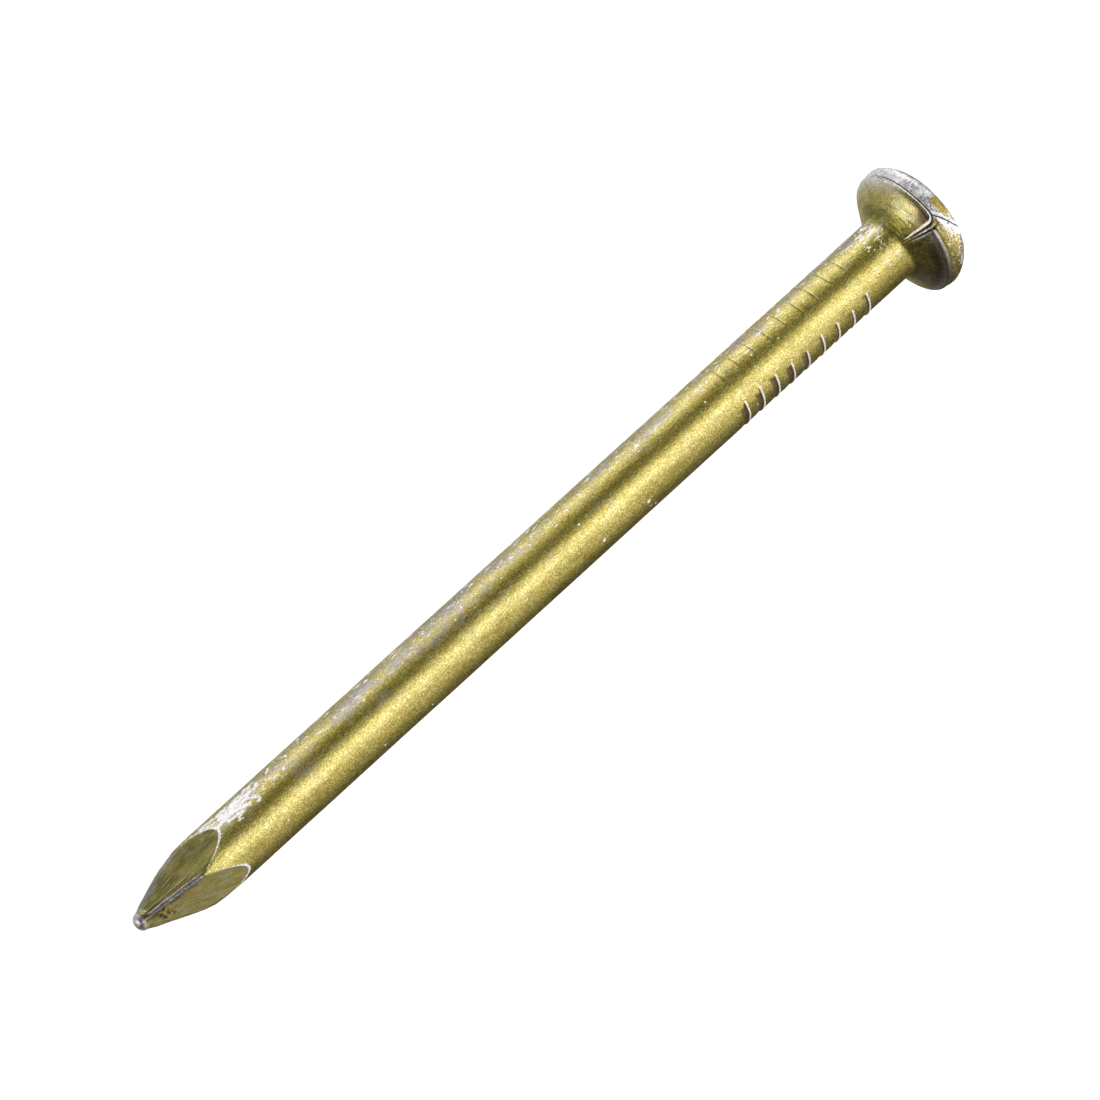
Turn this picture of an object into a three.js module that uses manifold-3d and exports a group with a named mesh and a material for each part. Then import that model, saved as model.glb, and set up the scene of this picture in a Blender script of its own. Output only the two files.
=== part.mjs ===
// A cold-headed steel nail, lying along X: head to +X, point to -X.
// Millimetres, +Z up. The origin is the centre of the head's flat top, and the whole nail is one piece of wire.
//
// The wire is held in two half-round gripping dies while a punch upsets the head, and two cutting dies pinch the
// point. The dies meet in the XZ plane, so the thin fins of metal squeezed out between them stand along +Z and
// -Z, and the grip marks that the dies leave on the wire are on its +Y and -Y sides.

import * as THREE from "three";
import { mergeVertices } from "three/addons/utils/BufferGeometryUtils.js";
import Module from "manifold-3d";

// Wire
const NAIL_LENGTH = 75; // head top to tip
const SHANK_RADIUS = 2.3;

// Head, with depths measured from its flat top
const HEAD_RADIUS = 4.6; // widest part of the rim
const TOP_ROUND = 0.8; // how far the flat top stops short of the widest circle
const WIDEST_DEPTH = 1.3;
const DIE_DRAFT = 0.18; // how much the rim narrows between its widest circle and the seat
const DIE_BACK = { faceDepth: 1.53, halfAngle: 52 }; // the die on +Y; the angle, in degrees, is of its cone
const DIE_FRONT = { faceDepth: 2.06, halfAngle: 57 }; // the die on -Y sat a little further from the head's top
const SEAT_ROUND = 0.6; // radius of the seat's outer corner
const NECK_FILLET = 0.5; // radius between cone and shank

// Fins between the dies, on the seat
const FIN_WIDTH = 0.2;
const FIN_HEIGHT = 0.08;

// Point
const POINT_LENGTH = 7.8; // from the tip to where the four faces run out on the wire
const TIP_HALF_WIDTH = 0.36; // half of the blunt end, across two faces
const TIP_ROUND = 0.22;
const FACE_BOW = 0.08; // how far each face bulges beyond flat at its middle

// Grip marks, one row for each die
const GRIP_COUNT = 9;
const GRIP_PITCH = 1.47;
const FIRST_GRIP_DEPTH = 7.8; // from the head's top to the first mark
const GRIP_NOTCH_WIDTH = 0.62; // along the wire
const GRIP_NOTCH_DEPTH = 0.13;
const GRIP_LIP_WIDTH = 0.2; // of the lip raised beside each notch
const GRIP_LIP_HEIGHT = 0.07;
const GRIP_HALF_SPAN = 66; // degrees each way from the middle of the die

const ROUND_SEGMENTS = 60; // flats around the wire
const ARC_STEPS = 6; // straight steps in each rounded corner
const FACE_STEPS = 8; // straight steps along each face of the point
const REACH = 20; // size of the blocks used for cutting, well past the head
const SKIN = 0.4; // how far cutting rings reach into the wire, or past its surface

const wasm = await Module();
wasm.setup();

// A closed three.js geometry as a solid for joining and cutting.
function solid(geometry) {
  const bare = geometry.clone();
  bare.deleteAttribute("normal");
  bare.deleteAttribute("uv");
  const merged = mergeVertices(bare, 1e-5);
  return new wasm.Manifold(
    new wasm.Mesh({
      numProp: 3,
      vertProperties: merged.getAttribute("position").array,
      triVerts: new Uint32Array(merged.index.array),
    }),
  );
}

function geometryOf(made) {
  const mesh = made.getMesh();
  const geometry = new THREE.BufferGeometry();
  geometry.setAttribute("position", new THREE.BufferAttribute(mesh.vertProperties, 3));
  geometry.setIndex(new THREE.BufferAttribute(mesh.triVerts, 1));
  geometry.computeVertexNormals();
  return geometry;
}

// Points on a circle about (x, y), from one angle to another in radians.
function arc(x, y, radius, from, to) {
  return Array.from({ length: ARC_STEPS + 1 }, (_, i) => {
    const angle = from + ((to - from) * i) / ARC_STEPS;
    return new THREE.Vector2(x + radius * Math.cos(angle), y + radius * Math.sin(angle));
  });
}

// Turns an outline of (radius, depth) points about the X axis. Depth runs from the head's top to the tip.
function turned(outline) {
  const points = outline.map((p) => new THREE.Vector2(p.x, -p.y)).reverse();
  const geometry = new THREE.LatheGeometry(points, ROUND_SEGMENTS);
  geometry.rotateZ(-Math.PI / 2);
  return solid(geometry);
}

// The rounded rim above the seat, from the edge of the top flat out to the widest circle.
function rimOutline() {
  return arc(0, 0, 1, -Math.PI / 2, 0).map(
    (p) => new THREE.Vector2(HEAD_RADIUS - TOP_ROUND * (1 - p.x), WIDEST_DEPTH * (1 + p.y)),
  );
}

// The seat that one die forms: a rounded corner, a cone and the fillet that runs out on the wire.
function seatOutline(die) {
  const half = THREE.MathUtils.degToRad(die.halfAngle);
  const corner = arc(HEAD_RADIUS - DIE_DRAFT - SEAT_ROUND, die.faceDepth, SEAT_ROUND, 0, half);
  const coneStart = corner[corner.length - 1];
  // The fillet is tangent to the cone and to the wire.
  const filletRadius = SHANK_RADIUS + NECK_FILLET;
  const coneEndRadius = filletRadius - NECK_FILLET * Math.cos(half);
  const coneEndDepth = coneStart.y + (coneStart.x - coneEndRadius) / Math.tan(half);
  const filletDepth = coneEndDepth + NECK_FILLET * Math.sin(half);
  return [...corner, ...arc(filletRadius, filletDepth, NECK_FILLET, Math.PI + half, Math.PI)];
}

// Each die forms its own half of the seat, so there is a step where they meet: the half on -Y reaches deeper.
function headAndWire() {
  const onAxis = (depth) => new THREE.Vector2(0, depth);
  const wireEnd = new THREE.Vector2(SHANK_RADIUS, NAIL_LENGTH);
  const back = seatOutline(DIE_BACK);
  const front = seatOutline(DIE_FRONT);
  const whole = turned([onAxis(0), ...rimOutline(), ...back, wireEnd, onAxis(NAIL_LENGTH)]);
  const widest = new THREE.Vector2(HEAD_RADIUS, WIDEST_DEPTH);
  const deeper = turned([onAxis(WIDEST_DEPTH), widest, ...front, onAxis(front.at(-1).y)]);
  const block = new THREE.BoxGeometry(REACH * 2, REACH, REACH * 2);
  block.translate(0, -REACH / 2, 0);
  return whole.add(deeper.intersect(solid(block)));
}

// A thin plate through the axis, whose edges stand out of the seat as the two fins. They run from the seat's
// corner to the neck, and both of their ends are sunk in the metal.
function seatFins() {
  const seat = seatOutline(DIE_FRONT);
  const crest = seat.slice(1).filter((p) => p.x > SHANK_RADIUS + FIN_HEIGHT);
  const upper = [
    new THREE.Vector2(HEAD_RADIUS - TOP_ROUND, WIDEST_DEPTH),
    ...crest.map((p) => new THREE.Vector2(p.x, p.y + FIN_HEIGHT)),
    new THREE.Vector2(SHANK_RADIUS - FIN_HEIGHT, seat.at(-1).y),
  ];
  const lower = upper.map((p) => new THREE.Vector2(-p.x, p.y)).reverse();
  const shape = new THREE.Shape([...upper, ...lower].map((p) => new THREE.Vector2(-p.y, p.x)));
  const geometry = new THREE.ExtrudeGeometry(shape, { depth: FIN_WIDTH, bevelEnabled: false });
  geometry.translate(0, 0, -FIN_WIDTH / 2);
  geometry.rotateX(Math.PI / 2);
  return solid(geometry);
}

// Half the thickness across two opposite faces of the point, at a distance from the tip.
function faceDistance(fromTip) {
  const share = fromTip / POINT_LENGTH;
  return TIP_HALF_WIDTH + (SHANK_RADIUS - TIP_HALF_WIDTH) * share + FACE_BOW * 4 * share * (1 - share);
}

// A slab whose two sides are opposite faces of the point, and which clears the wire and the head beyond it.
function pointSlab() {
  const tip = arc(TIP_ROUND - NAIL_LENGTH, TIP_HALF_WIDTH - TIP_ROUND, TIP_ROUND, Math.PI, Math.PI / 2);
  const upper = [...tip];
  for (let i = 1; i <= FACE_STEPS; i++) {
    const fromTip = (POINT_LENGTH * i) / FACE_STEPS;
    upper.push(new THREE.Vector2(fromTip - NAIL_LENGTH, faceDistance(fromTip)));
  }
  upper.push(new THREE.Vector2(POINT_LENGTH + SKIN - NAIL_LENGTH, REACH));
  upper.push(new THREE.Vector2(REACH, REACH));
  const lower = upper.map((p) => new THREE.Vector2(p.x, -p.y)).reverse();
  const shape = new THREE.Shape([...upper, ...lower]);
  const geometry = new THREE.ExtrudeGeometry(shape, { depth: REACH * 2, bevelEnabled: false });
  geometry.translate(0, 0, -REACH);
  return geometry;
}

// Four faces, turned 45 degrees from the plane where the dies meet, so two of the point's edges lie in it.
function withPoint(body) {
  return [45, 135].reduce((made, degrees) => {
    const slab = pointSlab();
    slab.rotateX(THREE.MathUtils.degToRad(degrees));
    return made.intersect(solid(slab));
  }, body);
}

// A ring about the wire with the given (radius, depth) section, kept over the span of one die.
function ringSector(section, side) {
  const ring = turned([...section, section[0]].map(([r, depth]) => new THREE.Vector2(r, depth)));
  const span = THREE.MathUtils.degToRad(GRIP_HALF_SPAN);
  const wedge = new THREE.Shape([new THREE.Vector2(0, 0), ...arc(0, 0, REACH, -span, span)]);
  const block = new THREE.ExtrudeGeometry(wedge, { depth: NAIL_LENGTH * 2, bevelEnabled: false });
  // The wedge is drawn about X and pushed out along Z, so it is laid along the nail and turned to its side.
  block.rotateY(-Math.PI / 2);
  block.rotateX((-side * Math.PI) / 2);
  return ring.intersect(solid(block));
}

// Each tooth of a die presses a notch that is deepest at its head end, and raises a lip there.
function withGrips(body) {
  const notchReach = GRIP_NOTCH_WIDTH * (1 + SKIN / GRIP_NOTCH_DEPTH);
  let made = body;
  for (const side of [1, -1]) {
    for (let i = 0; i < GRIP_COUNT; i++) {
      const depth = FIRST_GRIP_DEPTH + i * GRIP_PITCH;
      const notch = [
        [SHANK_RADIUS - GRIP_NOTCH_DEPTH, depth],
        [SHANK_RADIUS + SKIN, depth],
        [SHANK_RADIUS + SKIN, depth + notchReach],
      ];
      const lip = [
        [SHANK_RADIUS - SKIN, depth],
        [SHANK_RADIUS, depth - GRIP_LIP_WIDTH],
        [SHANK_RADIUS + GRIP_LIP_HEIGHT, depth],
      ];
      made = made.subtract(ringSector(notch, side)).add(ringSector(lip, side));
    }
  }
  return made;
}

const body = new THREE.Mesh(
  geometryOf(withGrips(withPoint(headAndWire().add(seatFins())))),
  new THREE.MeshStandardMaterial({ color: 0xb59a4a, roughness: 0.38, metalness: 1 }),
);
body.name = "nail";

const nail = new THREE.Group();
nail.add(body);

export default nail;
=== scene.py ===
import math
import bmesh
import bpy
from mathutils import Matrix, Vector


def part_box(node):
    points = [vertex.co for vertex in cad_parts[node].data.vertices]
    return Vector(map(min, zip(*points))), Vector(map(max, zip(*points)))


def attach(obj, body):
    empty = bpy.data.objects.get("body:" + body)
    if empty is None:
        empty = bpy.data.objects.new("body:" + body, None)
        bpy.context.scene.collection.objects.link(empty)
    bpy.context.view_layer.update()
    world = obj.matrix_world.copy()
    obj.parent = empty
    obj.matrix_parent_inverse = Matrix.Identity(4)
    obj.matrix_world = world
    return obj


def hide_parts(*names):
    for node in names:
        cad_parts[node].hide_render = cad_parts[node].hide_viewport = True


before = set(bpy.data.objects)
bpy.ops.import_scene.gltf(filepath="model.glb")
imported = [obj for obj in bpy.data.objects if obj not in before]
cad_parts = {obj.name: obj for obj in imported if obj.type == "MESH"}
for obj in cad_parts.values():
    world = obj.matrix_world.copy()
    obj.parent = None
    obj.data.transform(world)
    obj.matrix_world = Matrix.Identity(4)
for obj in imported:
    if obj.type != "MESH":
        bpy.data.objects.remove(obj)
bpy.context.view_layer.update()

nailLow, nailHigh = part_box("nail")
millimetre = 0.001
lengthMm = (nailHigh.x - nailLow.x) / millimetre
headRadiusMm = nailHigh.y / millimetre
print("frame loaded, nail is", round(lengthMm, 2), "mm long")


# Formulas in node trees. They work alike in geometry trees and in materials.

class Field:
    # one socket of a node tree, so that a formula can be written as ordinary arithmetic
    def __init__(self, tree, socket):
        self.tree = tree
        self.socket = socket

    def __add__(self, other):
        return maths("ADD", self, other)

    def __radd__(self, other):
        return maths("ADD", other, self)

    def __sub__(self, other):
        return maths("SUBTRACT", self, other)

    def __rsub__(self, other):
        return maths("SUBTRACT", other, self)

    def __mul__(self, other):
        return maths("MULTIPLY", self, other)

    def __rmul__(self, other):
        return maths("MULTIPLY", other, self)

    def __truediv__(self, other):
        return maths("DIVIDE", self, other)

    def __rtruediv__(self, other):
        return maths("DIVIDE", other, self)

    def __pow__(self, other):
        return maths("POWER", self, other)

    def __neg__(self):
        return maths("MULTIPLY", self, -1.0)


def feed(socket, value):
    if isinstance(value, Field):
        value.tree.links.new(value.socket, socket)
    else:
        socket.default_value = value


def treeOf(*values):
    return next(value.tree for value in values if isinstance(value, Field))


def maths(operation, *values):
    tree = treeOf(*values)
    node = tree.nodes.new("ShaderNodeMath")
    node.operation = operation
    for socket, value in zip(node.inputs, values):
        feed(socket, value)
    return Field(tree, node.outputs[0])


def sine(a):
    return maths("SINE", a)


def cosine(a):
    return maths("COSINE", a)


def size(a):
    return maths("ABSOLUTE", a)


def least(a, b):
    return maths("MINIMUM", a, b)


def most(a, b):
    return maths("MAXIMUM", a, b)


def ramp(value, start, end, smooth=True):
    # 0 before start and 1 after end
    node = treeOf(value, start, end).nodes.new("ShaderNodeMapRange")
    node.interpolation_type = "SMOOTHSTEP" if smooth else "LINEAR"
    for name, given in (("Value", value), ("From Min", start), ("From Max", end)):
        feed(node.inputs[name], given)
    return Field(treeOf(value, start, end), node.outputs[0])


def blendOf(a, b, share):
    return a + (b - a) * share


def bell(distance, width):
    # 1 at distance 0, falling to about a third at the width
    scaled = distance / width
    return maths("EXPONENT", -(scaled * scaled))


def vector(x, y, z):
    tree = treeOf(x, y, z)
    node = tree.nodes.new("ShaderNodeCombineXYZ")
    for socket, value in zip(node.inputs, (x, y, z)):
        feed(socket, value)
    return Field(tree, node.outputs[0])


def parts(field):
    node = field.tree.nodes.new("ShaderNodeSeparateXYZ")
    feed(node.inputs[0], field)
    return [Field(field.tree, output) for output in node.outputs]


def noise(place, scale, detail=2.0, rough=0.5, seed=0.0):
    # smooth noise from -1 to 1
    node = place.tree.nodes.new("ShaderNodeTexNoise")
    node.noise_dimensions = "4D"
    feed(node.inputs["Vector"], place)
    node.inputs["W"].default_value = seed
    node.inputs["Scale"].default_value = scale
    node.inputs["Detail"].default_value = detail
    node.inputs["Roughness"].default_value = rough
    return (Field(place.tree, node.outputs[0]) - 0.5) * 2.0


def chance(index, seed):
    # one random value from 0 to 1 for each whole number
    node = index.tree.nodes.new("ShaderNodeTexWhiteNoise")
    node.noise_dimensions = "2D"
    feed(node.inputs["Vector"], vector(index, seed, 0.0))
    return Field(index.tree, node.outputs[0])


# Nail, in millimetres and degrees. Depth is measured from the head's top along the nail, and angle from +Y
# through +Z. The dies met at 90 and 270 degrees, and the back die is the one on +Y.

nailShape = {
    "Length": lengthMm,
    "Head radius": headRadiusMm,
    "Head skew": 1.8,
    "Top flat radius": 3.85,
    "Back die depth": 1.53,
    "Front die depth": 2.06,
    "Back cone slope": 1.4,
    "Front cone slope": 1.77,
    "Neck depth": 3.41,
    "Die corner radius": 0.45,
    "Fin height": 0.10,
    "Fold height": 0.10,
    "Shank radius": 2.3,
    "First grip depth": 7.8,
    "Grip pitch": 1.47,
    "Grip count": 9.0,
    "Grip lip height": 0.06,
    "Grip notch depth": 0.065,
    "Back grip share": 0.24,
    "Point length": 7.9,
    "Tip half width": 0.36,
    "Tip lean": 0.26,
    "Burr height": 0.03,
}
# stretches along the nail from the head's top to where the tip closes: how long, and how many rings
nailStretches = [(0.35, 14), (3.6, 98), (3.4, 16), (13.4, 128), (46.0, 32), (7.8, 88)]
tipRound = 0.45
ringsOnTop = 10
ringsOnTip = 10
pointsAround = 240


def newTree(name, sizes):
    tree = bpy.data.node_groups.new(name, "GeometryNodeTree")
    face = tree.interface
    face.new_socket("Geometry", in_out="INPUT", socket_type="NodeSocketGeometry")
    for label, value in sizes.items():
        face.new_socket(label, in_out="INPUT", socket_type="NodeSocketFloat").default_value = value
    face.new_socket("Geometry", in_out="OUTPUT", socket_type="NodeSocketGeometry")
    start = tree.nodes.new("NodeGroupInput")
    return tree, {label: Field(tree, start.outputs[label]) for label in sizes}


def alongNail(share, shape):
    # for a share from 0 to 1 of all the rings: depth, how far open the top is, and how far closed the tip is
    total = ringsOnTop + sum(rings for _, rings in nailStretches) + ringsOnTip
    begun = ringsOnTop / total
    opened = ramp(share, 0.0, begun, smooth=False)
    depth = 0.0
    for length, rings in nailStretches:
        depth = depth + ramp(share, begun, begun + rings / total, smooth=False) * length
        begun += rings / total
    closing = ramp(share, begun, 1.0, smooth=False) * (math.pi / 2)
    # rings crowd together at each grip mark
    counted = (depth - shape["First grip depth"]) / shape["Grip pitch"]
    marked = maths("GREATER_THAN", counted, -0.5) * maths("LESS_THAN", counted, shape["Grip count"] - 0.5)
    depth = depth - sine(counted * (2.0 * math.pi)) * shape["Grip pitch"] * marked * 0.11
    return depth, opened, closing


def intoQuadrant(across, along, radius):
    # how far inside the quadrant where both are positive, which has a round corner
    shortX = radius - across
    shortY = radius - along
    outX = most(shortX, 0.0)
    outY = most(shortY, 0.0)
    return radius - maths("SQRT", outX * outX + outY * outY) - least(most(shortX, shortY), 0.0)


# Each of these gives a height over the plain round, and most also give masks: where the coating is worn
# bright or holds dirt, where crevices take painted shade, and where crests and the lap take a painted
# highlight.

def headAt(depth, away, place, shape):
    onBack = ramp(away + noise(place, 1.3, seed=3.0) * 0.03, -0.05, 0.05)
    waver = noise(place, 0.45, seed=7.0) * 0.05 + noise(place, 1.9, seed=8.0) * 0.015

    def half(dieDepth, slope, full):
        # the rim rolls over towards the top, and the cone comes down from the edge that this die left
        edge = dieDepth + waver
        widest = edge * full
        above = most(widest - depth, 0.0) / widest
        rim = shape["Head radius"] - (shape["Head radius"] - shape["Top flat radius"]) * above ** (1.2 + full)
        rim = rim - ramp(depth, widest, edge) * 0.12
        cone = shape["Shank radius"] + (shape["Neck depth"] - depth) * slope
        return maths("SMOOTH_MIN", rim, cone, 0.3)

    front = half(shape["Front die depth"], shape["Front cone slope"], 0.7)
    back = half(shape["Back die depth"], shape["Back cone slope"], 0.55)
    return blendOf(front, back, onBack)


def dieEdgesAt(depth, away, place, shape):
    # the back die's edge is crisp, and turns down beside the crevice where the dies met
    # the front die's edge is soft
    waver = noise(place, 0.45, seed=7.0) * 0.05 + noise(place, 1.9, seed=8.0) * 0.015
    across = away + noise(place, 1.1, seed=11.0) * 0.04
    fade = 1.0 - ramp(depth, shape["Neck depth"] - 0.8, shape["Neck depth"] + 0.2)
    uneven = 1.0 + noise(place, 2.2, seed=13.0) * 0.5
    inBack = intoQuadrant(across, depth - shape["Back die depth"] - waver, shape["Die corner radius"])
    crest = bell(inBack - 0.06, 0.052)
    groove = bell(inBack + 0.06, 0.05)
    below = ramp(depth, shape["Back die depth"] + 0.05, shape["Back die depth"] + 0.3)
    besideFins = ramp(-across, -0.1, 0.0) * below
    lip = bell(inBack + 0.19, 0.055) * besideFins
    step = bell(inBack + 0.32, 0.05) * besideFins
    # the front edge starts at the lip
    inFront = intoQuadrant(-across - 0.2, depth - shape["Front die depth"] - waver, 0.35)
    roll = bell(inFront - 0.1, 0.28) * ramp(-across, 0.22, 0.4)
    seam = bell(inFront + 0.17, 0.06) * ramp(-across, 0.22, 0.4)
    upright = 1.0 + ramp(-across, -0.35, -0.1) * 0.6
    height = (crest * 0.75 * upright - groove + lip * 0.7 - step * 0.5) * uneven + roll * 0.3 - seam * 0.35
    rubbed = 1.0 - ramp(across, 2.2, 2.8) * 0.8 - bell(across - 0.75, 0.45) * 0.45
    # the crest's white is partly worn metal and partly a painted highlight, strongest where the edge turns
    # down
    worn = crest * (0.6 + uneven * 0.4) * upright * rubbed + lip * 0.45
    # the groove, the step and the seam are painted black later: painted shade in the crevices
    dirty = groove + step * 0.8 + seam * 0.4
    return height * fade * shape["Fin height"], worn * fade, dirty * fade, roll * fade


def foldAt(depth, angle, place, shape):
    # a lap across the rim, from the fins up to the edge of the top
    across = maths("WRAP", angle - math.radians(90.0), math.pi, -math.pi)
    slant = math.radians(19.5)
    end = 1.5
    gap = (across - math.radians(24.5) + slant * depth) * shape["Head radius"] * 0.54
    gap = gap + noise(place, 0.8, seed=43.0) * 0.07
    inside = ramp(depth, 0.02, 0.1) * (1.0 - ramp(depth, end - 0.15, end + 0.1))
    # the bulges over and under the crack are painted white later: partly bare metal, partly a painted
    # highlight
    over = bell(gap + 0.15, 0.14)
    under = bell(gap - 0.24, 0.24)
    # the crack is painted black later: painted shade
    crack = bell(gap, 0.05)
    height = (over + under * 0.9 - crack * 0.8) * inside * shape["Fold height"]
    return height, (over + under) * inside, crack * inside


def gripsAt(depth, angle, place, shape):
    # ratchet marks in two rows, each with a raised lip on the head side of a notch
    counted = (depth - shape["First grip depth"]) / shape["Grip pitch"] + 0.5
    index = maths("FLOOR", counted)
    onFront = maths("LESS_THAN", cosine(angle), 0.0)
    draw = index + onFront * 31.0
    along = (counted - index - 0.5) * shape["Grip pitch"] + (chance(draw, 1.0) - 0.5) * 0.1
    along = along + noise(place, 0.9, seed=17.0) * 0.05
    lip = bell(along + 0.045, 0.055)
    notch = ramp(along, -0.01, 0.05) * (1.0 - ramp(along, 0.12, 0.6))
    floor = ramp(along, 0.0, 0.06) * (1.0 - ramp(along, 0.42, 0.62))
    fromMiddle = size(maths("WRAP", angle, math.pi / 2, -math.pi / 2))
    span = math.radians(64.0) + (chance(draw, 2.0) - 0.5) * math.radians(13.0)
    ragged = noise(place, 2.1, detail=3.0, seed=19.0) * math.radians(16.0)
    lipEnd = 1.0 - ramp(fromMiddle + ragged * 0.4, span - math.radians(3.0), span + math.radians(5.0))
    notchEnd = 1.0 - ramp(fromMiddle + ragged, span - math.radians(5.0), span)
    counts = maths("GREATER_THAN", index, -0.5) * maths("LESS_THAN", index, shape["Grip count"] - 0.5)
    strength = (0.75 + chance(draw, 3.0) * 0.5) * blendOf(shape["Back grip share"], 1.0, onFront) * counts
    lower = ramp(index, 1.0, 5.0)
    height = lip * lipEnd * shape["Grip lip height"] - notch * notchEnd * shape["Grip notch depth"]
    foot = bell(along - 0.04, 0.05) * lipEnd
    worn = lip * lipEnd * 1.3
    dirty = (floor * notchEnd * lower * 0.8 + foot * 0.7) * strength * strength
    return height * strength, worn * strength, dirty


def pointAt(depth, angle, place, shape):
    # four faces that meet at the angles 0, 90, 180 and 270
    # a strip beside the edge on +Z folded over when the dies closed
    fromTip = shape["Length"] - depth
    share = fromTip / shape["Point length"]
    bow = most(share * (1.0 - share), 0.0) * 0.32
    half = blendOf(shape["Tip half width"], shape["Shank radius"], share) + bow
    half = half + noise(place, 0.6, seed=23.0) * 0.03
    turned = angle - math.radians(45.0)
    corner = 26.0
    square = size(cosine(turned)) ** corner + size(sine(turned)) ** corner
    flat = half / square ** (1.0 / corner)
    upper = ramp(sine(angle), 0.2, 0.5) * (1.0 - ramp(share, 0.48, 0.62))
    away = cosine(angle) * half * 1.38
    wide = 0.42 + share * 0.45
    crease = bell(away - wide, 0.06) * upper
    strip = ramp(away, 0.02, 0.12) * (1.0 - ramp(away, wide - 0.12, wide)) * upper
    nose = ramp(fromTip, 1.15, 0.5)
    return blendOf(flat + crease * 0.01 - strip * 0.02, half * 1.27, nose), strip, crease, away


def pinchAt(depth, away, place, shape):
    # jagged metal squeezed out between the cutting dies, along two of the point's edges
    fromTip = shape["Length"] - depth
    reach = ramp(fromTip, 0.6, 1.0) * (1.0 - ramp(fromTip, 4.5, 5.0))
    across = away + noise(place, 1.0, seed=29.0) * 0.07
    line = bell(across, 0.16) * reach
    torn = 0.35 + noise(place, 4.2, detail=3.0, seed=31.0) * 1.5
    beside = bell(across - 0.22, 0.04) * reach
    return line * torn + beside * 0.3, line, beside


maskNames = (
    "worn", "dirty", "crevice", "lap", "roll", "rim",
    "face", "strip", "crease", "margin", "pinch", "nose",
)


def nailAt(depth, angle, place, shape):
    away = shape["Shank radius"] * 1.4 * cosine(angle)
    head = headAt(depth, away, place, shape)
    edges, edgesWornAndHighlight, edgesShade, roll = dieEdgesAt(depth, away, place, shape)
    fold, foldBareAndHighlight, foldShade = foldAt(depth, angle, place, shape)
    grips, gripsWorn, gripsDirty = gripsAt(depth, angle, place, shape)
    drawnWaver = noise(place, 0.12, seed=37.0) * 0.02 + noise(place, 0.7, seed=41.0) * 0.006
    shank = shape["Shank radius"] + drawnWaver
    body = maths("SMOOTH_MAX", shank, head, 0.8) + fold + edges + grips
    point, strip, crease, fromRidge = pointAt(depth, angle, place, shape)
    pinch, pinchLine, pinchBeside = pinchAt(depth, fromRidge, place, shape)
    onEdges = (cosine(angle * 4.0) * 0.5 + 0.5) ** 4.0
    soft = 0.18 + size(cosine(angle)) * 0.27 + most(cosine(angle), 0.0) * 0.35
    radius = maths("SMOOTH_MIN", body, point, 0.02 + onEdges * soft)
    nearPoint = ramp(depth, shape["Length"] - 9.5, shape["Length"] - 8.5)
    burr = bell(point - body - 0.01, 0.03) * nearPoint * (1.0 - onEdges * 0.4)
    pointed = ramp(body - point, 0.0, 0.1)
    ridges = bell(sine(angle * 2.0) * 1.15, 0.08) * pointed * 0.6
    margin = bell(sine(angle) * radius, 0.48) * ramp(cosine(angle), -0.2, 0.2) * pointed * 0.75
    masks = {
        "worn": edgesWornAndHighlight + gripsWorn + burr * 0.65 + ridges + pinchBeside * 0.45,
        "dirty": gripsDirty,
        "crevice": edgesShade + foldShade,
        "lap": foldBareAndHighlight,
        "roll": roll,
        "face": ramp(body - point, 0.0, 0.05),
        "strip": strip,
        "crease": crease + margin * 0.6,
        "margin": margin,
        "pinch": pinchLine,
        "nose": ramp(depth, shape["Length"] - 0.8, shape["Length"] - 0.3),
        "rim": 1.0 - ramp(depth, shape["Back die depth"] - 0.1, shape["Back die depth"] + 0.02),
    }
    masks["rim"] = blendOf(
        1.0 - ramp(depth, shape["Front die depth"] - 0.35, shape["Front die depth"] - 0.1),
        masks["rim"],
        ramp(away, -0.1, 0.1),
    )
    return radius + burr * shape["Burr height"] + pinch * 0.055, masks


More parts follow.
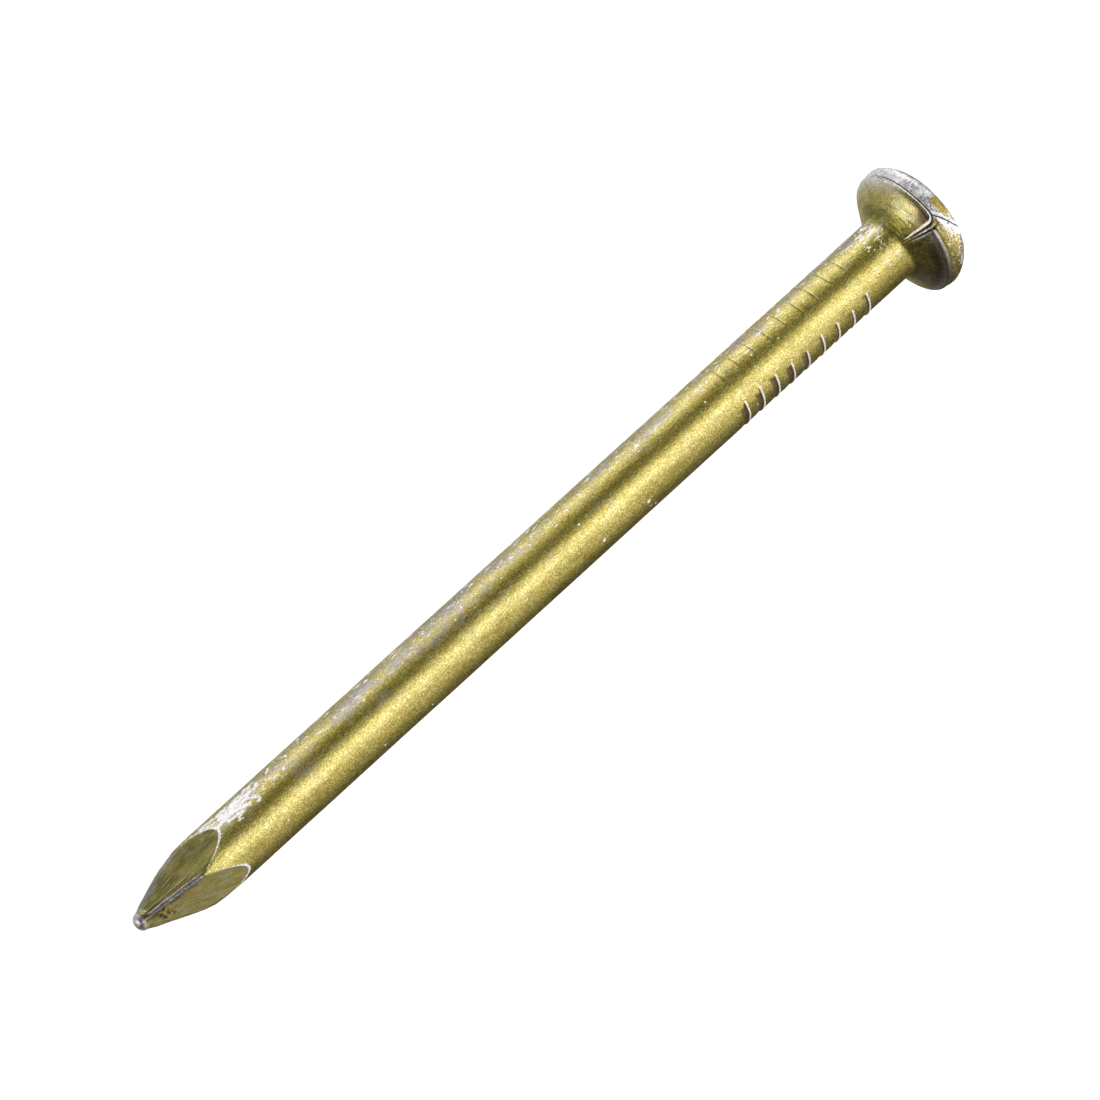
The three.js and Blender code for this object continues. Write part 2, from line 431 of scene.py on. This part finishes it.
def makeNailTree():
    tree, shape = newTree("nailForm", nailShape)
    nodes, links = tree.nodes, tree.links
    grid = nodes.new("GeometryNodeMeshGrid")
    grid.inputs["Size X"].default_value = 1.0
    grid.inputs["Size Y"].default_value = 1.0
    grid.inputs["Vertices X"].default_value = ringsOnTop + sum(n for _, n in nailStretches) + ringsOnTip + 1
    grid.inputs["Vertices Y"].default_value = pointsAround + 1
    here = nodes.new("GeometryNodeInputPosition")
    gridX, gridY, _ = parts(Field(tree, here.outputs[0]))
    depth, opened, closing = alongNail(gridX + 0.5, shape)
    turn = (gridY + 0.5) * (2.0 * math.pi)
    # points crowd towards the four edges of the point, most of all where the dies met
    angle = turn - sine(turn * 4.0) * 0.125 + sine(turn * 2.0) * 0.1
    place = vector(depth, cosine(angle) * shape["Shank radius"], sine(angle) * shape["Shank radius"])
    radius, masks = nailAt(depth, angle, place, shape)
    radius = radius * opened * cosine(closing)
    lean = ramp(depth, shape["Length"] - shape["Point length"], shape["Length"]) * shape["Tip lean"]
    skew = maths("TANGENT", maths("RADIANS", shape["Head skew"])) * (1.0 - ramp(depth, 1.5, 4.0))
    sideways = radius * cosine(angle)
    out = vector(
        (depth + sine(closing) * tipRound - sideways * skew) * -millimetre,
        (sideways + lean) * millimetre,
        radius * sine(angle) * millimetre,
    )
    flow = grid.outputs["Mesh"]
    for name, mask in masks.items():
        stored = nodes.new("GeometryNodeStoreNamedAttribute")
        links.new(flow, stored.inputs["Geometry"])
        stored.inputs["Name"].default_value = name
        feed(stored.inputs["Value"], mask)
        flow = stored.outputs[0]
    placed = nodes.new("GeometryNodeSetPosition")
    links.new(flow, placed.inputs["Geometry"])
    feed(placed.inputs["Position"], out)
    merged = nodes.new("GeometryNodeMergeByDistance")
    merged.inputs["Distance"].default_value = 0.002 * millimetre
    links.new(placed.outputs[0], merged.inputs[0])
    smooth = nodes.new("GeometryNodeSetShadeSmooth")
    links.new(merged.outputs[0], smooth.inputs[0])
    realized = nodes.new("GeometryNodeRealizeInstances")
    links.new(smooth.outputs[0], realized.inputs[0])
    dressed = nodes.new("GeometryNodeSetMaterial")
    dressed.inputs["Material"].default_value = bpy.data.materials["yellowZinc"]
    links.new(realized.outputs[0], dressed.inputs[0])
    end = nodes.new("NodeGroupOutput")
    links.new(dressed.outputs[0], end.inputs[0])
    return tree


def setSizes(modifier, tree, sizes):
    for item in tree.interface.items_tree:
        if item.item_type == "SOCKET" and item.in_out == "INPUT" and item.name in sizes:
            modifier[item.identifier] = sizes[item.name]


def madeFromTree(name, tree, sizes):
    seed = bpy.data.objects.new(name + "Seed", bpy.data.meshes.new(name + "Seed"))
    bpy.context.scene.collection.objects.link(seed)
    modifier = seed.modifiers.new("form", "NODES")
    modifier.node_group = tree
    setSizes(modifier, tree, sizes)
    graph = bpy.context.evaluated_depsgraph_get()
    mesh = bpy.data.meshes.new_from_object(seed.evaluated_get(graph), depsgraph=graph)
    bpy.data.objects.remove(seed)
    mesh.name = name
    made = bpy.data.objects.new(name, mesh)
    bpy.context.scene.collection.objects.link(made)
    return made


# Yellow chromated zinc over bare steel. Scales are per millimetre, and colours are linear.

zincLook = {
    "gold": (0.76, 0.62, 0.20),
    "amber": (0.90, 0.73, 0.07),
    "olive": (0.52, 0.46, 0.13),
    "pale": (0.94, 0.86, 0.46),
    "green": (0.44, 0.48, 0.18),
    "rose": (0.62, 0.44, 0.30),
    "orange": (0.55, 0.30, 0.04),
    "white": (0.92, 0.91, 0.88),
    "silver": (0.86, 0.85, 0.85),
    "lilac": (0.55, 0.53, 0.54),
    "slate": (0.27, 0.27, 0.30),
    "brown": (0.24, 0.165, 0.09),
    "black": (0.06, 0.05, 0.04),
    "khaki": (0.82, 0.73, 0.46),
    "moss": (0.27, 0.25, 0.06),
}

zincFinish = {
    "roughness": 0.38,
    "grainScale": 12.0,
    "grainContrast": 0.8,
    "grainHeight": 0.007,
    "coarseHeight": 0.008,
    "amberShare": 0.4,
    "patchFrom": 0.30,  # more patches, scratches, flakes or pits when lower
    "scratchFrom": 0.40,
    "flakeFrom": 0.385,
    "pitFrom": 0.44,
    "oxideMatt": 0.7,
    # where each lies on the nail: degrees from +Y through +Z
    "amberSide": 69.0,
    "rubbedSide": 10.0,
    "stainedSide": 55.0,
    "bareRimSide": 30.0,
    "ochreSide": 85.0,
    "leftFaceSide": 45.0,
    "rightFaceSide": 135.0,
    "backConeSide": 50.0,
    "frontConeSide": 140.0,
}


def colourBlend(a, b, share):
    node = share.tree.nodes.new("ShaderNodeMix")
    node.data_type = "RGBA"
    feed(node.inputs["Factor"], share)
    for socket, value in ((node.inputs[6], a), (node.inputs[7], b)):
        feed(socket, value if isinstance(value, Field) else (*zincLook[value], 1.0))
    return Field(share.tree, node.outputs[2])


def scaledColour(colour, factor):
    node = colour.tree.nodes.new("ShaderNodeVectorMath")
    node.operation = "SCALE"
    feed(node.inputs[0], colour)
    feed(node.inputs["Scale"], factor)
    return Field(colour.tree, node.outputs[0])


def attribute(tree, name):
    node = tree.nodes.new("ShaderNodeAttribute")
    node.attribute_name = name
    return Field(tree, node.outputs["Fac"])


def dots(place, scale, reach, share, seed):
    # scattered round spots: 1 inside a spot, with a share of the cells holding one
    node = place.tree.nodes.new("ShaderNodeTexVoronoi")
    node.voronoi_dimensions = "4D"
    feed(node.inputs["Vector"], place)
    node.inputs["W"].default_value = seed
    node.inputs["Scale"].default_value = scale
    draw, _, _ = parts(Field(place.tree, node.outputs["Color"]))
    inside = 1.0 - ramp(Field(place.tree, node.outputs["Distance"]), reach * 0.6, reach)
    return inside * maths("LESS_THAN", draw, share)


class Coat:
    # places on the nail in millimetres, the masks its mesh holds, and the noises that several layers share
    def __init__(self, tree):
        coords = tree.nodes.new("ShaderNodeTexCoord")
        inMm = tree.nodes.new("ShaderNodeMapping")
        inMm.inputs["Scale"].default_value = (1.0 / millimetre,) * 3
        tree.links.new(coords.outputs["Object"], inMm.inputs["Vector"])
        self.place = place = Field(tree, inMm.outputs[0])
        self.x, self.y, self.z = x, y, z = parts(place)
        self.depth = -x
        self.out = maths("SQRT", y * y + z * z) + 0.01
        self.turn = maths("ARCTAN2", z, y)
        for name in maskNames:
            setattr(self, name, attribute(tree, name))
        self.drawn = vector(x * 0.3, y, z)  # stretched along the wire, as drawing left it
        self.grain = noise(place, zincFinish["grainScale"], detail=1.5, rough=0.7, seed=1.0) * 1.6
        self.coarse = noise(place, 3.2, detail=2.0, rough=0.6, seed=2.0)
        self.mottle = noise(self.drawn, 0.9, detail=4.0, rough=0.6, seed=3.0)
        self.shade = noise(place, 1.6, detail=4.0, rough=0.65, seed=15.0)
        self.rimNoise = noise(place, 2.0, detail=4.0, rough=0.7, seed=14.0)
        self.upper = ramp(self.facing(zincFinish["rubbedSide"]), 0.45, 0.95)
        self.onShank = ramp(self.depth, 3.0, 4.5) * (1.0 - self.face)
        self.onTop = (1.0 - ramp(self.out, 3.4, 3.9)) * (1.0 - ramp(self.depth, 0.1, 0.3))
        self.offRim = 1.0 - self.rim

    def facing(self, degrees):
        # 1 on the side at this angle, -1 on the opposite side
        turn = math.radians(degrees)
        return (self.y * math.cos(turn) + self.z * math.sin(turn)) / self.out


def plainCoating(coat):
    tint = noise(coat.drawn, 0.5, detail=2.0, seed=4.0)
    base = colourBlend("olive", "gold", ramp(coat.mottle + coat.grain * 0.3 + coat.coarse * 0.2, -0.5, 0.3))
    base = colourBlend(base, "green", ramp(tint, 0.15, 0.6) * 0.4)
    base = colourBlend(base, "rose", ramp(-tint, 0.25, 0.7) * 0.3)
    bright = ramp(coat.grain + coat.coarse * 0.5 + coat.mottle * 0.3, 0.1, 0.55)
    base = colourBlend(base, "pale", bright * 0.85)
    # it dried thicker along one side
    thick = ramp(coat.facing(zincFinish["amberSide"]) + coat.mottle * 0.04, 0.90, 0.99)
    return colourBlend(base, "amber", thick * zincFinish["amberShare"])


def pointColour(coat):
    # the point's faces were cut after the wire was drawn: duller, and scratched along or aslant
    x, y, z = coat.x, coat.y, coat.z
    left = ramp(coat.facing(zincFinish["leftFaceSide"]), 0.6, 0.9)
    right = ramp(coat.facing(zincFinish["rightFaceSide"]), 0.6, 0.9)
    lengthwise = noise(vector(x * 0.10, (y - z) * 0.7, 0.0), 9.0, detail=3.0, seed=21.0)
    slanted = vector(x * 0.10, y + x * 0.30, z)
    cut = blendOf(noise(slanted, 7.0, detail=3.0, seed=6.0), lengthwise, left) * 1.4
    broad = noise(slanted, 1.8, detail=2.0, seed=20.0)
    tint = noise(coat.place, 1.1, detail=3.0, seed=7.0)
    rubbed = noise(vector(x * 0.5, y, z), 2.6, detail=4.0, rough=0.65, seed=22.0)
    colour = colourBlend("moss", "olive", ramp(broad + cut * 0.5, -0.25, 0.55))
    colour = colourBlend(colour, "green", ramp(tint, -0.3, 0.5) * 0.35)
    colour = colourBlend(colour, "gold", bell(y / coat.out + cut * 0.08 - 0.38, 0.14) * left * 0.5)
    # the right face is painted lighter khaki: partly its colour, partly painted light where the lamps leave
    # that face dark
    colour = colourBlend(colour, "khaki", ramp(cut + coat.grain * 0.2 + right * 0.65, -0.05, 0.75) * 0.75)
    colour = colourBlend(colour, "olive", ramp(rubbed + cut * 0.2, -0.15, 0.2) * right * 0.8)
    colour = colourBlend(colour, "rose", ramp(-tint, 0.0, 0.5) * 0.4)
    colour = colourBlend(colour, "lilac", ramp(coat.coarse + tint * 0.6 + right * 0.2, 0.4, 0.6) * 0.7)
    colour = colourBlend(colour, "brown", coat.strip * ramp(coat.coarse + tint, -0.7, 0.3) * 0.75)
    colour = colourBlend(colour, "pale", ramp(coat.crease + cut * 0.2, 0.2, 0.8) * 0.7)
    colour = colourBlend(colour, "lilac", ramp(coat.margin + cut * 0.5, 0.2, 0.9) * 0.9)
    pitted = bell(coat.depth - 73.1, 1.1) * ramp(coat.facing(118.0), 0.6, 0.95)
    colour = colourBlend(colour, "black", ramp(pitted * 0.75 + coat.coarse * 1.1, 0.5, 0.9) * 0.8)
    colour = colourBlend(colour, "gold", ramp(pitted * 0.7 - coat.coarse * 1.1, 0.45, 0.75) * 0.8)
    coat.cut, coat.right = cut, right
    return colour


def coneTarnishAndShade(coat, base):
    # the two cones under the head, with painted shade in the corner inside the back die's edge, round the
    # neck and on the front cone, and a painted highlight on the back cone
    depth, coarse = coat.depth, coat.coarse
    cone = coat.offRim * (1.0 - ramp(depth, 3.3, 4.1))
    back = cone * ramp(coat.facing(zincFinish["backConeSide"]), 0.3, 0.7)
    front = cone * ramp(coat.facing(zincFinish["frontConeSide"]), 0.3, 0.75)
    rays = noise(vector(coat.turn * 7.0, depth * 0.5, 0.0), 1.0, detail=3.0, rough=0.6, seed=17.0)
    rings = noise(vector(depth * 3.0, coat.turn * 1.3, 0.0), 2.2, detail=2.0, seed=23.0)
    rings = rings * bell(depth - 2.9, 0.5) * back
    # painted shade: brown in the corner inside the back die's edge
    cornerShade = bell(depth - 1.95, 0.45) * bell(coat.z / coat.out - 1.0, 0.045) * coat.offRim
    # painted highlight: a pale patch on the back cone
    paintedGleam = bell(depth + coarse * 0.3 - 2.4, 0.3) * ramp(coat.facing(66.0), 0.92, 0.99)
    base = colourBlend(base, "khaki", back * (1.0 - ramp(depth + coarse * 0.4, 1.8, 2.6)) * 0.6)
    # painted shade: moss in a band round the neck on the back cone
    base = colourBlend(base, "moss", bell(depth + coarse * 0.2 - 3.05, 0.4) * back * 0.85)
    base = colourBlend(base, "pale", paintedGleam * back * 0.9)
    base = colourBlend(base, "brown", ramp(cornerShade + coarse * 0.4, 0.3, 0.9) * 0.85)
    # the rings, also ridges in the bump, are darkened with moss as painted shade
    base = colourBlend(base, "moss", ramp(rings, 0.03, 0.22) * 0.8)
    # the front cone is brown: partly its tarnish, partly painted shade on the side turned from the lamps
    tarnishAndShade = 0.5 + ramp(rays + coarse * 0.5, -0.3, 0.3) * 0.4
    tarnishAndShade = tarnishAndShade * (1.0 - ramp(depth + coarse * 0.4, 2.55, 3.1) * 0.75)
    base = colourBlend(base, "brown", front * tarnishAndShade)
    # painted shade: a black band across the front cone
    shadeBand = bell(depth + rays * 0.4 - 2.45, 0.3) * ramp(coat.facing(142.0), 0.75, 1.0)
    base = colourBlend(base, "black", shadeBand * front * 0.6)
    coat.rays, coat.rings = rays, rings
    # painted shade: grey-blue towards the lower side of the front cone
    return colourBlend(base, "slate", ramp(coat.facing(168.0), 0.8, 0.98) * front * 0.5)


def rubbedPatches(coat, base):
    # thickest on the upper side, where the coating has gone grey
    patchNoise = noise(vector(coat.x * 0.42, coat.y, coat.z), 0.95, detail=5.0, rough=0.65, seed=8.0)
    lowHalf = bell(coat.depth - 50.0, 18.0) * ramp(coat.facing(zincFinish["stainedSide"]), 0.6, 0.95)
    share = 0.15 + most(coat.upper * 0.65, lowHalf * 0.55)
    level = patchNoise + coat.upper * 0.22 + lowHalf * 0.18 + coat.grain * 0.4
    start = zincFinish["patchFrom"]
    coat.patch = ramp(level, start, start + 0.22) * share * coat.onShank
    return colourBlend(base, "lilac", coat.patch)


def findWear(coat):
    # scratches along the wire, and flakes and specks down to the metal
    x, y, z, depth = coat.x, coat.y, coat.z, coat.depth
    streak = noise(vector(x * 0.07, y, z), 6.0, detail=3.0, rough=0.6, seed=5.0)
    zone = ramp(noise(coat.drawn, 0.6, detail=2.0, seed=9.0) + coat.upper * 0.3, 0.1, 0.5)
    start = zincFinish["scratchFrom"]
    coat.scratch = ramp(streak + coat.grain * 0.25, start, start + 0.12) * zone
    flakeNoise = noise(vector(x * 0.4, y, z), 3.8, detail=3.0, rough=0.7, seed=10.0)
    nearPoint = bell(depth - 65.2, 2.6) * ramp(coat.facing(38.0), 0.86, 0.99)
    nearHead = bell(depth - 4.7, 1.2) * ramp(coat.facing(70.0), 0.4, 0.9)
    level = flakeNoise + coat.upper * 0.215 + nearPoint * 0.34 + nearHead * 0.24
    start = zincFinish["flakeFrom"]
    coat.flake = ramp(level, start, start + 0.055)
    coat.specks = dots(coat.place, 0.95, 0.16, 0.4, 11.0)
    coat.specks = coat.specks + dots(coat.place, 2.3, 0.22, 0.16 + coat.upper * 0.16, 12.0)


def bareMetal(coat, base):
    # the rim took the punch, and has lost its coating over most of its upper side. This also lays painted
    # light into the colour: a painted reflection on the back cone's edge, painted highlights on crests and
    # the lap, and painted shade on the rim's outer edge.
    depth, grain, rim, lap, rimNoise = coat.depth, coat.grain, coat.rim, coat.lap, coat.rimNoise
    rimLeft = most(ramp(coat.facing(zincFinish["bareRimSide"]), 0.5, 0.62), coat.onTop)
    rimRight = 0.36 - ramp(depth, 0.9, 1.5) * 0.2
    coat.worked = (1.0 - rimLeft) * rim
    base = colourBlend(base, "moss", coat.worked * ramp(coat.coarse + grain * 0.3, -0.2, 0.3) * 0.6)
    ochre = bell(depth - 0.5, 0.5) * ramp(coat.facing(zincFinish["ochreSide"]), 0.975, 0.992)
    ochre = ochre * (1.0 - ramp(lap, 0.1, 0.5)) * rim * (1.0 - coat.onTop)
    rimBare = ramp(rimNoise * 1.1 + grain * 0.6 + rimLeft * 1.1 + rimRight + lap * 0.9, 0.4, 0.6) * rim
    rimBare = rimBare * (1.0 - ramp(ochre + rimNoise * 0.4, 0.15, 0.5) * 0.9)
    edgeWearAndHighlight = ramp(coat.worn + grain * 0.15, 0.25, 0.5)
    # painted reflection: the back cone's edge beside the rim is painted silver and white
    coneEdgeReflection = ramp(coat.facing(-8.0), 0.4, 0.9) * coat.offRim
    coneEdgeReflection = coneEdgeReflection * (1.0 - ramp(depth + coat.coarse * 0.15, 1.6, 2.2))

    # bare metal goes white where it is roughest, and white also stands as a painted highlight on crests and
    # the lap and a painted reflection on the back cone's edge
    coat.oxide = most(most(coat.flake, coat.specks) * coat.onShank, edgeWearAndHighlight)
    # the lap's white is partly bare metal and partly a painted highlight
    coat.oxide = most(coat.oxide, ramp(lap + rimNoise * 0.6, 0.45, 0.8) * rim)
    coat.oxide = most(coat.oxide, rimBare * ramp(coat.shade + grain * 0.6, -0.15, 0.3) * 0.8)
    coat.oxide = most(coat.oxide, coneEdgeReflection * ramp(coat.shade + grain * 0.4, -0.3, 0.4) * 0.5)
    coat.bare = most(most(coat.scratch * 0.7, coat.flake), coat.specks) * (0.15 + coat.onShank * 0.85)
    coat.bare = most(most(coat.bare, edgeWearAndHighlight), rimBare)
    coat.bare = most(coat.bare, ramp(coat.nose + grain * 0.3, 0.35, 0.65))
    metal = colourBlend("silver", "lilac", ramp(coat.shade + grain * 0.2, -0.1, 0.5) * 0.5)
    base = colourBlend(base, "lilac", ramp(coat.roll + grain * 0.2, 0.2, 0.75) * 0.85)
    base = colourBlend(base, "silver", coneEdgeReflection * 0.8)
    base = colourBlend(base, metal, coat.bare)
    base = colourBlend(base, "white", coat.oxide)

    # painted shade darkens the rim's outer edge, and there is one ochre stain
    rimEdgeShade = (1.0 - ramp(depth + coat.shade * 0.5, 0.1, 0.6)) * ramp(coat.facing(40.0), 0.5, 0.8)
    base = colourBlend(base, "slate", rimEdgeShade * rim * (1.0 - coat.onTop) * (1.0 - ochre) * 0.7)
    base = colourBlend(base, "olive", ramp(ochre + coat.coarse * 0.5, 0.3, 0.8) * 0.8)
    return colourBlend(base, "orange", ramp(ochre + coat.coarse * 0.6, 0.7, 1.1) * 0.5)


def dirtShadeAndPits(coat, base):
    coat.dirt = ramp(coat.dirty + coat.grain * 0.15, 0.25, 0.7)
    coat.crack = ramp(coat.crevice + coat.grain * 0.1, 0.3, 0.7)
    start = zincFinish["pitFrom"]
    pitNoise = noise(coat.place, 4.6, detail=2.0, seed=16.0)
    coat.pits = ramp(pitNoise + coat.worked * 0.26, start, start + 0.12) * 0.8
    base = colourBlend(base, "brown", most(coat.pits, coat.dirt * 0.9))
    # painted shade: the crevices are painted black
    base = colourBlend(base, "black", coat.crack * 0.95)
    jag = noise(coat.place, 8.0, detail=2.0, seed=18.0)
    torn = colourBlend("black", "slate", ramp(jag, -0.5, 0.0))
    torn = colourBlend(torn, "silver", ramp(jag, 0.05, 0.5))
    return colourBlend(base, torn, ramp(coat.pinch, 0.25, 0.6))


def surfaceHeight(coat, grainy):
    # in millimetres
    grainHeight = coat.grain * zincFinish["grainHeight"] + coat.coarse * zincFinish["coarseHeight"]
    height = grainHeight * grainy - coat.scratch * 0.01 - coat.specks * 0.02 + coat.flake * 0.008
    height = height - coat.pits * 0.015 + coat.face * coat.cut * 0.010 + coat.mottle * 0.006
    raysHeight = coat.rays * ramp(coat.depth, 1.5, 2.2) * (1.0 - ramp(coat.depth, 3.6, 4.4)) * 0.025
    return height + coat.rimNoise * coat.rim * 0.04 + coat.rings * 0.05 + raysHeight


def makeYellowZinc():
    material = bpy.data.materials.new("yellowZinc")
    material.use_nodes = True
    tree = material.node_tree
    shader = tree.nodes["Principled BSDF"]
    coat = Coat(tree)
    base = colourBlend(plainCoating(coat), pointColour(coat), coat.face)
    base = coneTarnishAndShade(coat, base)
    base = rubbedPatches(coat, base)
    findWear(coat)
    base = bareMetal(coat, base)
    base = dirtShadeAndPits(coat, base)

    # dark and bright grains, softer on the point's faces
    grainy = 1.0 - coat.face * 0.65
    onHead = 1.0 - ramp(coat.depth, 3.2, 4.0)
    contrast = coat.grain * (zincFinish["grainContrast"] - onHead * 0.2) + coat.coarse * (0.2 + onHead * 0.3)
    feed(shader.inputs["Base Color"], scaledColour(base, 1.0 + contrast * grainy))
    matt = most(coat.oxide * (1.0 - coat.crack) * zincFinish["oxideMatt"], coat.face * coat.right * 0.1)
    feed(shader.inputs["Metallic"], 1.0 - matt)
    rough = zincFinish["roughness"] + coat.grain * 0.10 + coat.patch * 0.10
    feed(shader.inputs["Roughness"], rough + coat.dirt * 0.2 + coat.crack * 0.3 + coat.bare * 0.03)
    bump = tree.nodes.new("ShaderNodeBump")
    bump.inputs["Strength"].default_value = 1.0
    bump.inputs["Distance"].default_value = millimetre
    feed(bump.inputs["Height"], surfaceHeight(coat, grainy))
    tree.links.new(bump.outputs[0], shader.inputs["Normal"])


makeYellowZinc()
nail = madeFromTree("nailForged", makeNailTree(), nailShape)
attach(nail, "root")
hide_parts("nail")
print("nail formed,", len(nail.data.polygons), "faces")


# Camera. It looks down on the nail and the underside of its head, and is rolled so the nail lies aslant.

view = {
    "tilt": 22.0,  # degrees between the nail and the plane of the view, head farther away
    "round": 8.0,  # degrees about the nail from +Z towards +Y
    "slant": 42.26,  # degrees of the nail above the frame's horizontal
    "distance": 0.736,
    "frameWidth": 0.0723,
    "aimDepth": 0.0361,  # along the nail from the head's top
    "aimAside": -0.00027,
}
alongX = Vector((1.0, 0.0, 0.0))
towardsCamera = Vector((0.0, math.sin(math.radians(view["round"])), math.cos(math.radians(view["round"]))))
back = towardsCamera * math.cos(math.radians(view["tilt"])) - alongX * math.sin(math.radians(view["tilt"]))
alongInView = (alongX - back * back.x).normalized()
asideInView = alongInView.cross(back)  # to the lower right of the frame


def makeCamera():
    slant = math.radians(view["slant"])
    right = alongInView * math.cos(slant) + asideInView * math.sin(slant)
    up = alongInView * math.sin(slant) - asideInView * math.cos(slant)
    data = bpy.data.cameras.new("camera")
    data.sensor_width = 36.0
    data.lens = data.sensor_width * view["distance"] / view["frameWidth"]
    data.clip_end = 10.0
    camera = bpy.data.objects.new("camera", data)
    aim = alongX * (nailHigh.x - view["aimDepth"]) + asideInView * view["aimAside"]
    turned = Matrix((right, up, back)).transposed().to_4x4()
    camera.matrix_world = Matrix.Translation(aim + back * view["distance"]) @ turned
    bpy.context.scene.collection.objects.link(camera)
    bpy.context.scene.camera = camera


makeCamera()
print("camera placed")


# Studio: a pale floor, soft boxes, and a dim dome that only reflections see

studio = {
    "floorHalf": 3.0,
    "rimRest": 0.0014,  # depth of the rim's lowest point, where the nail rests
    "shankRest": 0.0701,  # depth of the last full round before the point
    "shankRadius": 0.0023,
    "domeRadius": 4.0,
    "domeWarm": (1.0, 0.93, 0.66),
    "domeCool": (1.0, 0.99, 0.97),
    "domeDim": 0.045,
    "domeBright": 0.46,
    "floorGlow": 0.7,
    "skyLight": 0.8,
    "boxDistance": 0.6,
    # soft boxes: degrees about the nail and towards the head, width, length, watts and tint
    "boxes": {
        "keyBox": (23.0, 22.0, 0.32, 0.45, 1.05, (1.0, 1.0, 1.15)),
        "sideBox": (-82.0, 42.0, 0.30, 0.65, 1.1, (1.0, 1.0, 1.1)),
        "headBox": (88.0, 68.0, 0.35, 0.35, 1.2, (1.0, 1.0, 1.0)),
        "tipBox": (-92.0, -75.0, 0.16, 0.16, 0.55, (1.0, 1.0, 1.0)),
    },
    # soft glows on the dome: degrees about the nail and towards the head, how far each spreads, and strength
    "glows": [(60.0, 22.0, 31.0, 45.0, 0.72), (102.0, -4.0, 22.0, 18.0, 0.22)],
}


def makeFloor():
    drop = (nailHigh.y - studio["shankRadius"]) / (studio["shankRest"] - studio["rimRest"])
    half = studio["floorHalf"]
    corners = [(-half, -half), (half, -half), (half, half), (-half, half)]
    mesh = bpy.data.meshes.new("floor")
    places = [(x, y, -nailHigh.y - (x + studio["rimRest"]) * drop) for x, y in corners]
    mesh.from_pydata(places, [], [(0, 1, 2, 3)])
    floor = bpy.data.objects.new("floor", mesh)
    bpy.context.scene.collection.objects.link(floor)
    material = bpy.data.materials.new("paleFloor")
    material.use_nodes = True
    shader = material.node_tree.nodes["Principled BSDF"]
    shader.inputs["Base Color"].default_value = (0.8, 0.8, 0.8, 1.0)
    shader.inputs["Roughness"].default_value = 0.9
    shader.inputs["Specular IOR Level"].default_value = 0.0
    shader.inputs["Emission Color"].default_value = (1.0, 1.0, 1.0, 1.0)
    shader.inputs["Emission Strength"].default_value = studio["floorGlow"]
    mesh.materials.append(material)
    floor.visible_glossy = False
    floor.visible_shadow = False


def studioDirection(turn, tilt):
    # from the nail: turned about it, from the camera's side to the lower right, then tilted towards the head
    about = math.radians(turn)
    lean = math.radians(tilt)
    around = towardsCamera * math.cos(about) + asideInView * math.sin(about)
    return around * math.cos(lean) + alongX * math.sin(lean)


def addSoftBox(name, turn, tilt, width, length, power, tint):
    direction = studioDirection(turn, tilt).normalized()
    data = bpy.data.lights.new(name, "AREA")
    data.shape = "RECTANGLE"
    data.size = width
    data.size_y = length
    data.energy = power
    data.color = tint
    lamp = bpy.data.objects.new(name, data)
    centre = Vector(((nailLow.x + nailHigh.x) / 2, 0.0, 0.0))
    across = alongX.cross(direction).normalized()
    upward = direction.cross(across).normalized()
    turned = Matrix((across, upward, direction)).transposed().to_4x4()
    lamp.matrix_world = Matrix.Translation(centre + direction * studio["boxDistance"]) @ turned
    bpy.context.scene.collection.objects.link(lamp)


def makeDome():
    mesh = bpy.data.meshes.new("dome")
    dome = bpy.data.objects.new("dome", mesh)
    ball = bmesh.new()
    bmesh.ops.create_uvsphere(ball, u_segments=48, v_segments=24, radius=studio["domeRadius"])
    ball.to_mesh(mesh)
    ball.free()
    bpy.context.scene.collection.objects.link(dome)
    material = bpy.data.materials.new("domeGlow")
    material.use_nodes = True
    tree = material.node_tree
    tree.nodes.clear()
    coords = tree.nodes.new("ShaderNodeTexCoord")
    x, y, z = parts(Field(tree, coords.outputs["Object"]))

    def reach(direction):
        # 1 in this direction, -1 in the opposite one
        return (x * direction.x + y * direction.y + z * direction.z) / studio["domeRadius"]

    glow = ramp(reach(studioDirection(-125.0, 0.0)), -0.1, 0.9)
    about = maths("ARCTAN2", reach(asideInView), reach(towardsCamera)) * (180.0 / math.pi)
    lean = maths("ARCSINE", reach(alongX)) * (180.0 / math.pi)
    strength = blendOf(studio["domeDim"], studio["domeBright"], glow)
    for turn, tilt, wide, tall, power in studio["glows"]:
        strength = strength + bell(about - turn, wide) * bell(lean - tilt, tall) * power
    node = tree.nodes.new("ShaderNodeMix")
    node.data_type = "RGBA"
    feed(node.inputs["Factor"], glow)
    node.inputs[6].default_value = (*studio["domeWarm"], 1.0)
    node.inputs[7].default_value = (*studio["domeCool"], 1.0)
    shine = tree.nodes.new("ShaderNodeEmission")
    tree.links.new(node.outputs[2], shine.inputs["Color"])
    feed(shine.inputs["Strength"], strength)
    end = tree.nodes.new("ShaderNodeOutputMaterial")
    tree.links.new(shine.outputs[0], end.inputs["Surface"])
    mesh.materials.append(material)
    dome.visible_camera = False
    dome.visible_diffuse = False
    dome.visible_shadow = False


def makeWorld():
    world = bpy.data.worlds.new("studio")
    world.use_nodes = True
    background = world.node_tree.nodes["Background"]
    background.inputs["Color"].default_value = (1.0, 1.0, 1.0, 1.0)
    background.inputs["Strength"].default_value = studio["skyLight"]
    world.cycles_visibility.glossy = False
    bpy.context.scene.world = world
    bpy.context.scene.view_settings.view_transform = "Standard"


makeFloor()
makeDome()
for boxName, box in studio["boxes"].items():
    addSoftBox(boxName, *box)
makeWorld()
print("studio lit")
